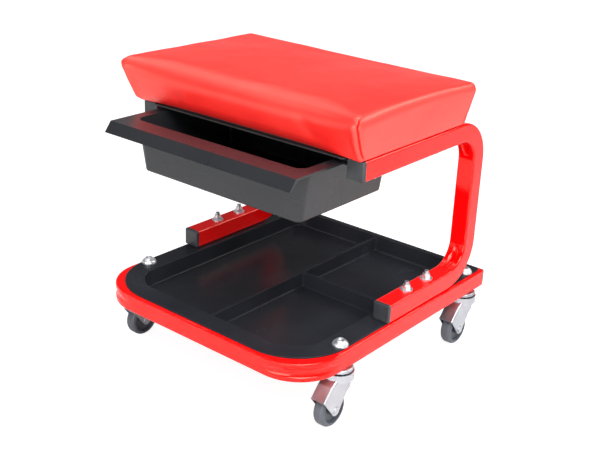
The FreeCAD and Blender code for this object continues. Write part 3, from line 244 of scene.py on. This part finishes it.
class Finish:
    """One material, with short calls for the nodes that feed its shader."""

    def __init__(self, name, **constants):
        self.material = bpy.data.materials.new(name)
        self.material.use_nodes = True
        self.tree = self.material.node_tree
        self.shader = self.tree.nodes["Principled BSDF"]
        for label, amount in constants.items():
            self.shader.inputs[label.replace("_", " ")].default_value = amount

    def effect(self, name, **values):
        node = self.tree.nodes.new("ShaderNodeGroup")
        node.node_tree = EFFECTS[name]
        for label, amount in values.items():
            node.inputs[label.replace("_", " ")].default_value = amount
        return node

    def feed(self, label, socket):
        self.tree.links.new(socket, self.shader.inputs[label])

    def gloss(self, mask, low, high):
        """A roughness that runs from low to high as a mask rises."""
        node = wire(self.tree, "ShaderNodeMapRange", Value=mask, From_Min=MASK_LOW,
                    From_Max=MASK_HIGH, To_Min=low, To_Max=high)
        self.feed("Roughness", node.outputs["Result"])

    def colours(self, mask, first, second):
        """A colour that runs from first to second as a mask rises."""
        node = wire(self.tree, "ShaderNodeValToRGB", Fac=mask)
        start, end = node.color_ramp.elements
        start.position, end.position = MASK_LOW, MASK_HIGH
        start.color, end.color = (*first, 1), (*second, 1)
        self.feed("Base Color", node.outputs["Color"])

    def relief(self, height, depth):
        node = wire(self.tree, "ShaderNodeBump", Strength=1.0, Distance=depth, Height=height)
        self.feed("Normal", node.outputs["Normal"])


def cloudy(name, patches, specks, first, second, roughness, relief, **constants):
    """A finish whose colour and gloss drift in patches, over fine specks in relief."""
    finish = Finish(name, **constants)
    clouds = finish.effect("clouds", Patches_per_metre=patches, Specks_per_metre=specks)
    finish.colours(clouds.outputs["Patches"], first, second)
    if roughness:
        finish.gloss(clouds.outputs["Patches"], *roughness)
    finish.relief(clouds.outputs["Specks"], relief * MM)
    return finish.material


def zinc_plate(name, dull, bright):
    return cloudy(name, 40.0, 2400.0, dull, bright, (0.34, 0.46), 0.02, Metallic=1.0)


def red_vinyl():
    vinyl = Finish("red_vinyl", IOR=1.85, Specular_Tint=(1, 1, 0.78, 1))
    grain = vinyl.effect("grain", Cells_per_metre=1100.0)
    clouds = vinyl.effect("clouds", Patches_per_metre=14.0, Specks_per_metre=600.0)
    vinyl.colours(clouds.outputs["Patches"], (0.90, 0.010, 0.009), (0.95, 0.014, 0.012))
    vinyl.gloss(clouds.outputs["Patches"], 0.38, 0.50)
    vinyl.relief(grain.outputs["Height"], 0.12 * MM)
    return vinyl.material


def black_backing():
    board = Finish("black_backing_board", Roughness=0.8)
    grain = board.effect("grain", Cells_per_metre=1500.0)
    board.colours(grain.outputs["Mask"], (0.018, 0.018, 0.02), (0.03, 0.03, 0.032))
    board.relief(grain.outputs["Height"], 0.2 * MM)
    return board.material


# patches and specks to the metre, two colours, the range of roughness, the relief in mm
FINISHES = {
    "red_paint": cloudy(
        "red_gloss_paint", 9.0, 420.0, (0.90, 0.0010, 0.0015), (0.95, 0.002, 0.002),
        (0.03, 0.07), 0.04, IOR=1.42, Specular_Tint=(1, 1, 0.82, 1)),
    "black_plastic": cloudy(
        "black_tray_plastic", 10.0, 1500.0, (0.014, 0.015, 0.019), (0.022, 0.0235, 0.029),
        (0.18, 0.28), 0.03, IOR=1.2),
    "drawer_plastic": cloudy(
        "charcoal_drawer_plastic", 12.0, 1600.0, (0.013, 0.0135, 0.016), (0.018, 0.019, 0.022),
        (0.24, 0.32), 0.05, IOR=1.46),
    "zinc": zinc_plate("zinc_plate", (0.44, 0.46, 0.50), (0.56, 0.575, 0.60)),
    "wheel_tread": cloudy(
        "grey_wheel_rubber", 50.0, 2000.0, (0.058, 0.064, 0.076), (0.085, 0.094, 0.112),
        (0.36, 0.5), 0.05),
    "red_vinyl": red_vinyl(),
    "plywood": cloudy(
        "black_stained_plywood", 35.0, 500.0, (0.014, 0.013, 0.013), (0.026, 0.024, 0.023),
        None, 0.1, Roughness=0.6),
    "grey_board": black_backing(),
}
FINISHES["foam"] = FINISHES["red_vinyl"]
PLUG_FINISH = cloudy(
    "charcoal_plug_plastic", 60.0, 1800.0, (0.022, 0.024, 0.027), (0.042, 0.045, 0.05),
    (0.28, 0.45), 0.06)
NUT_FINISH = zinc_plate("bright_zinc_nuts", (0.80, 0.83, 0.87), (0.92, 0.93, 0.95))

PLUGS = ("upper_arm_plugs", "lower_arm_plugs", "base_plugs")
NUTS = ("frame_nuts", "frame_washers", "front_left_caster_nut", "front_right_caster_nut",
        "rear_left_caster_nut", "rear_right_caster_nut")


def dress(thing, material):
    thing.data.materials.clear()
    thing.data.materials.append(material)


for part in frame["record"]["subparts"]:
    dress(nodes[part["node"]], FINISHES[part["material_slot"]])
for name in PLUGS:
    dress(nodes[name], PLUG_FINISH)
for name in NUTS:
    dress(nodes[name], NUT_FINISH)


# ---- cushion, in millimetres

SEAT_LOW, SEAT_HEIGHT = 334.3, 57.8
# where each side is at the hem, and how far out it has leaned at the top
SEAT_SIDE, SIDE_FLARE = 183.0, 12.2
SEAT_FRONT, FRONT_FLARE = -116.9, 32.2
SEAT_REAR, REAR_FLARE = 99.2, 12.8
# the share of the front's lean that its middle lacks
MIDDLE_RELIEF = 0.4
# how far the top's middle stands over its edges, and its right side over the left
CROWN, RIGHT_RISE = 1.0, 5.0
# how far the cover pulls each top corner: left front, left rear, right front, right rear
CORNER_PULL = ((-1.2, -0.6, 3.0), (0.9, 1.1, 0.8), (0.2, 0.1, 0.0), (-0.4, -0.8, -2.6))

# radii of the edges, across, along and up: at the hem, what the top adds, what the top's front
# adds, and what the full roll in the middle of the front adds, at any height and at the top
HEM_ROUND = (6.5, 4.5, 5.5)
TOP_ROUND = (3.0, 4.0, 6.5)
TOP_FRONT_ROUND = (3.5, 5.5, 4.0)
ROLL_ROUND = (0.0, 10.0, 11.5)
TOP_ROLL_ROUND = (0.0, 16.0, 0.0)

# distances between the mesh's stations: near an edge, far from one, and the width of an edge
FINE_STEP, COARSE_STEP, FINE_REACH = 0.9, 6.5, 20.0
STEP_GROWTH = 1.25

# stuffing: the blown cloth's voxels, its held hem, pressure, steps, largest reach, smoothing
STUFFING_VOXEL = 5.0
BOARD_RISE = 13.0
STUFFING_PRESSURE = 4
STUFFING_STEPS = 20
SWELL_CAP = 2.5
SWELL_NEIGHBOURS = 12


def ease(low, high, amount):
    """A smooth step of an array from 0 at low to 1 at high."""
    share = np.clip((amount - low) / (high - low), 0, 1)
    return share * share * (3 - 2 * share)


def hump(distance, width):
    """A smooth ridge of height 1 that falls off over its width."""
    return np.exp(-(distance / width) ** 2)


def graded(length):
    """Stations along a side of the cushion, close together near both of its ends."""
    stations, step = [0.0], FINE_STEP
    while stations[-1] < length / 2:
        stations.append(stations[-1] + step)
        if stations[-1] > FINE_REACH:
            step = min(step * STEP_GROWTH, COARSE_STEP)
    half = np.array(stations) * (length / 2) / stations[-1]
    return np.concatenate([half, length - half[-2::-1]]) / length * 2 - 1


def box_net(across, along, up):
    """Points and faces of a box's skin, from stations of -1 to 1 on each of its axes."""
    points, faces, known = [], [], {}

    def point(i, j, k):
        if (i, j, k) not in known:
            known[i, j, k] = len(points)
            points.append((across[i], along[j], up[k]))
        return known[i, j, k]

    def face(*corners):
        faces.append([point(*corner) for corner in corners])

    nx, ny, nz = len(across) - 1, len(along) - 1, len(up) - 1
    for i in range(nx):
        for j in range(ny):
            face((i, j, nz), (i + 1, j, nz), (i + 1, j + 1, nz), (i, j + 1, nz))
            face((i, j, 0), (i, j + 1, 0), (i + 1, j + 1, 0), (i + 1, j, 0))
    for i in range(nx):
        for k in range(nz):
            face((i, 0, k), (i + 1, 0, k), (i + 1, 0, k + 1), (i, 0, k + 1))
            face((i, ny, k), (i, ny, k + 1), (i + 1, ny, k + 1), (i + 1, ny, k))
    for j in range(ny):
        for k in range(nz):
            face((0, j, k), (0, j, k + 1), (0, j + 1, k + 1), (0, j + 1, k))
            face((nx, j, k), (nx, j + 1, k), (nx, j + 1, k + 1), (nx, j, k + 1))
    return np.array(points), faces


def pad_form(net):
    """Box points carried onto the pad: a full roll in front, round edges, and leaning sides."""
    half = np.array([SEAT_SIDE, (SEAT_REAR - SEAT_FRONT) / 2, SEAT_HEIGHT / 2])
    sharp = net * half
    rise = ease(-0.9, 0.9, net[:, 2])
    front = ease(0.2, -0.9, net[:, 1])[:, None]
    roll = front * (1 - net[:, :1] ** 4)
    top = np.stack([rise, rise, net[:, 2] > 0], axis=1)
    soft = (np.array(HEM_ROUND) + np.array(ROLL_ROUND) * roll
            + top * (np.array(TOP_ROUND) + np.array(TOP_FRONT_ROUND) * front
                     + np.array(TOP_ROLL_ROUND) * roll))
    core = np.clip(sharp, soft - half, half - soft)
    away = (sharp - core) / soft
    length = np.maximum(np.linalg.norm(away, axis=1), 1e-9)[:, None]
    placed = core + soft * away / length * np.minimum(length, 1.0)
    across, depth, height = ((placed / half + 1) / 2).T
    low = SEAT_FRONT - FRONT_FLARE * height * (1 - MIDDLE_RELIEF * roll[:, 0])
    high = SEAT_REAR + REAR_FLARE * height
    x = placed[:, 0] * (SEAT_SIDE + SIDE_FLARE * height) / SEAT_SIDE
    y = low + (high - low) * depth
    bow = height * (1 - net[:, 1] ** 2)
    arch = CROWN * (1 - net[:, 0] ** 2) + RIGHT_RISE * ease(-0.2, 1, net[:, 0])
    z = SEAT_LOW + SEAT_HEIGHT * height + bow * arch
    left, near = 1 - across, 1 - depth
    weights = np.stack([left * near, left * depth, across * near, across * depth], axis=1)
    return np.stack([x, y, z], axis=1) + weights * height[:, None] @ np.array(CORNER_PULL)


def mesh_object(name, points, faces):
    mesh = bpy.data.meshes.new(name)
    mesh.from_pydata((points * MM).tolist(), [], faces)
    mesh.polygons.foreach_set("use_smooth", [True] * len(mesh.polygons))
    thing = bpy.data.objects.new(name, mesh)
    bpy.context.scene.collection.objects.link(thing)
    return thing


def read_vectors(mesh, label):
    """The vertices' co or normal as rows of an array."""
    flat = np.empty(len(mesh.vertices) * 3)
    mesh.vertices.foreach_get(label, flat)
    return flat.reshape(-1, 3)


def evaluated_mesh(thing):
    return bpy.data.meshes.new_from_object(
        thing.evaluated_get(bpy.context.evaluated_depsgraph_get()))


def swell(points, faces):
    """Where the stuffing pushes each point: cloth blown up, held along the board, and capped."""
    start = mesh_object("pad_stuffing", points, faces)
    voxels = start.modifiers.new("voxels", "REMESH")
    voxels.mode = "VOXEL"
    voxels.voxel_size = STUFFING_VOXEL * MM
    skin = evaluated_mesh(start)
    start.modifiers.clear()
    start.data = skin
    rest = read_vectors(skin, "co") / MM
    held = start.vertex_groups.new(name="held")
    held.add([index for index, z in enumerate(rest[:, 2]) if z < SEAT_LOW + BOARD_RISE],
             1.0, "REPLACE")
    cloth = start.modifiers.new("stuffing", "CLOTH")
    cloth.settings.use_pressure = True
    cloth.settings.uniform_pressure_force = STUFFING_PRESSURE
    cloth.settings.vertex_group_mass = "held"
    cloth.settings.effector_weights.gravity = 0
    for step in range(1, STUFFING_STEPS + 1):
        bpy.context.scene.frame_set(step)
    blown = evaluated_mesh(start)
    bpy.context.scene.frame_set(1)
    moved = read_vectors(blown, "co") / MM - rest
    moved *= SWELL_CAP / np.linalg.norm(moved, axis=1).max()
    near = KDTree(len(rest))
    for index, point in enumerate(rest):
        near.insert(point, index)
    near.balance()
    pushed = []
    for point in points:
        around = [index for _, index, _ in near.find_n(point, SWELL_NEIGHBOURS)]
        pushed.append(moved[around].mean(axis=0))
    bpy.data.objects.remove(start)
    return np.array(pushed)


# the tuck at each corner: its reach from the corner along both sides, where it fades out above
# the hem and below the top, and the depth, place and width of its cleft, lip and roll
TUCK_REACH, TUCK_FULL = 42.0, 12.0
TUCK_HEM = (2.0, 7.0)
TUCK_TOP = (1.0, 5.0)
CLEFT_DEPTH, CLEFT_WIDTH = 6.0, 0.9
LIP_HEIGHT, LIP_PLACE, LIP_WIDTH = 0.9, 2.6, 1.5
ROLL_HEIGHT, ROLL_PLACE, ROLL_WIDTH = 1.8, -6.0, 4.5
# the fold's line round the corner: its middle, its curl under the top, its spread at the hem
FOLD_MIDDLE = 2.0
FOLD_CURL, CURL_START, CURL_END = 5.5, 13.0, 2.0
FOLD_SPREAD, SPREAD_HEIGHT = 3.0, 22.0


def fold_line(height):
    """How far round the corner a fold lies, from its top, where it curls over, to the hem."""
    curl = ease(SEAT_HEIGHT - CURL_START, SEAT_HEIGHT - CURL_END, height)
    return FOLD_MIDDLE + FOLD_CURL * curl + FOLD_SPREAD * ease(SPREAD_HEIGHT, 0, height)


def tuck_corners(points, normals):
    """A folded tuck down each corner: a narrow cleft, the lip beside it and the roll in front."""
    height = points[:, 2] - SEAT_LOW
    share = height / SEAT_HEIGHT
    side = SEAT_SIDE + SIDE_FLARE * share
    front = SEAT_FRONT - FRONT_FLARE * share
    rear = SEAT_REAR + REAR_FLARE * share
    edge = np.where(points[:, 1] < 0, points[:, 1] - front, rear - points[:, 1])
    inside = side - np.abs(points[:, 0])
    near = ease(TUCK_REACH, TUCK_FULL, inside) * ease(TUCK_REACH, TUCK_FULL, edge)
    near *= ease(*TUCK_HEM, height)
    near *= ease(SEAT_HEIGHT - TUCK_TOP[0], SEAT_HEIGHT - TUCK_TOP[1], height)
    past = edge - inside - fold_line(height)
    cleft = -CLEFT_DEPTH * hump(past, CLEFT_WIDTH)
    lip = LIP_HEIGHT * hump(past - LIP_PLACE, LIP_WIDTH)
    roll = ROLL_HEIGHT * hump(past - ROLL_PLACE, ROLL_WIDTH)
    roll *= ease(SEAT_HEIGHT, SEAT_HEIGHT / 2, height)
    return points + normals * (near * (cleft + lip + roll))[:, None]


DENTS = (
    # on the front: across, height above the hem, lean, half length, half width, depth
    (-104, 18, 0.5, 20, 7, 1.5),
    (-126, 14, 0.9, 15, 6, 0.8),
    (112, 27, 0.62, 22, 7, 1.9),
    (134, 16, 0.7, 14, 6, 0.9),
    (20, 10, 0.3, 26, 8, 0.7),
)
# unevenness, as waves to the millimetre and height of each noise, and its share on flat and on
# upward faces
UNEVEN = ((0.018, 1.0), (0.045, 0.5))
FLAT_SHARE, UPWARD_SHARE = 0.25, 0.5


def crease(points, normals):
    """Shallow dents that run up from the hem, and the slow unevenness of vinyl over foam."""
    height = points[:, 2] - SEAT_LOW
    facing = ease(0.4, 0.8, -normals[:, 1])
    depth = np.zeros(len(points))
    for across, up, lean, reach, width, deep in DENTS:
        dx, dz = points[:, 0] - across, height - up
        length = math.hypot(1, lean)
        along, beside = (dz - dx * lean) / length, (dx + dz * lean) / length
        depth += deep * facing * hump(along, reach) * hump(beside, width)
    uneven = np.array([sum(share * noise.noise(Vector(point) * waves) for waves, share in UNEVEN)
                       for point in points])
    flat = ease(0.8, 0.97, np.abs(normals).max(axis=1))
    upward = ease(0.93, 0.995, normals[:, 2])
    share = FLAT_SHARE * flat + UPWARD_SHARE * upward
    return points + normals * (uneven * share - depth)[:, None]


def build_cushion():
    net, faces = box_net(graded(2 * SEAT_SIDE), graded(SEAT_REAR - SEAT_FRONT),
                         graded(SEAT_HEIGHT))
    points = pad_form(net)
    pad = mesh_object("seat_cushion", points, faces)
    points = points + swell(points, faces)
    pad.data.vertices.foreach_set("co", (points * MM).ravel())
    for detail in (crease, tuck_corners):
        pad.data.update()
        points = detail(points, read_vectors(pad.data, "normal"))
        pad.data.vertices.foreach_set("co", (points * MM).ravel())
    pad.data.update()
    dress(pad, FINISHES["red_vinyl"])
    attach(pad, "frame")
    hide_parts("seat_cover", "seat_foam")


build_cushion()
aim_camera()
light_studio()
lay_floor()
bpy.context.scene.view_settings.view_transform = "Standard"
